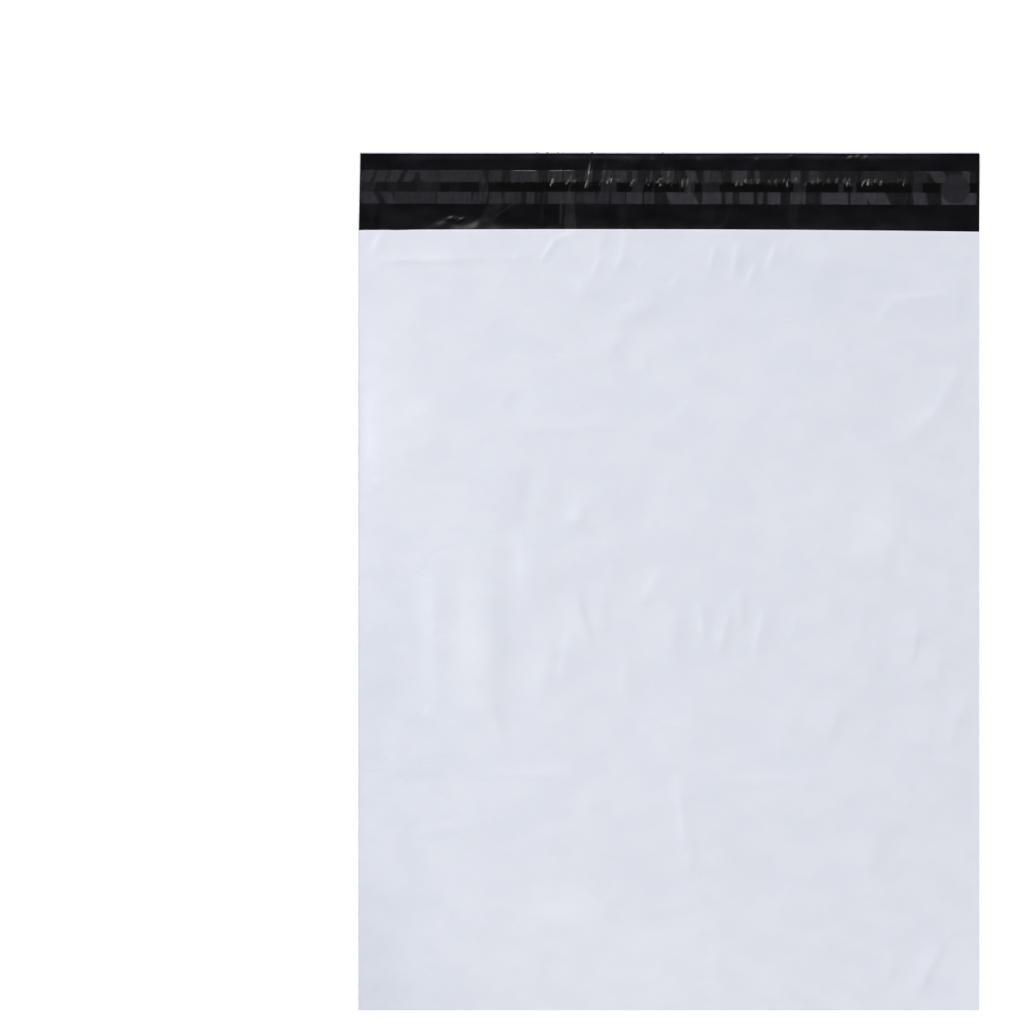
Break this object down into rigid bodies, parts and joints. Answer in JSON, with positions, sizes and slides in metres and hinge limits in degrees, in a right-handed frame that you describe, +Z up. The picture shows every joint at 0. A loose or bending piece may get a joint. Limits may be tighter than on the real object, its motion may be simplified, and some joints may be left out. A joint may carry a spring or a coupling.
{
  "type": "poly mailer bag",
  "caption": "Flat self-seal mailing bag of white film, black inside, open at the mouth, with a flap that carries an adhesive line under a release liner.",
  "frame": {"origin": "under the middle of the bag's outline, on the surface that it lies on", "axes": "+X across the bag, +Y from the bottom fold towards the flap, +Z up out of the front panel"},
  "size_m": [0.483, 0.6664, 0.0119],
  "materials": {
    "white_film": "satin white polyethylene film, black on the inner face",
    "adhesive": "glossy pressure-sensitive hot-melt, dark over the black film",
    "liner": "hazy translucent release film, dark over the black flap"
  },
  "bodies": {
    "root": {"bag_film": "white_film", "adhesive_line": "adhesive", "release_liner": "liner"}
  },
  "joints": []
}
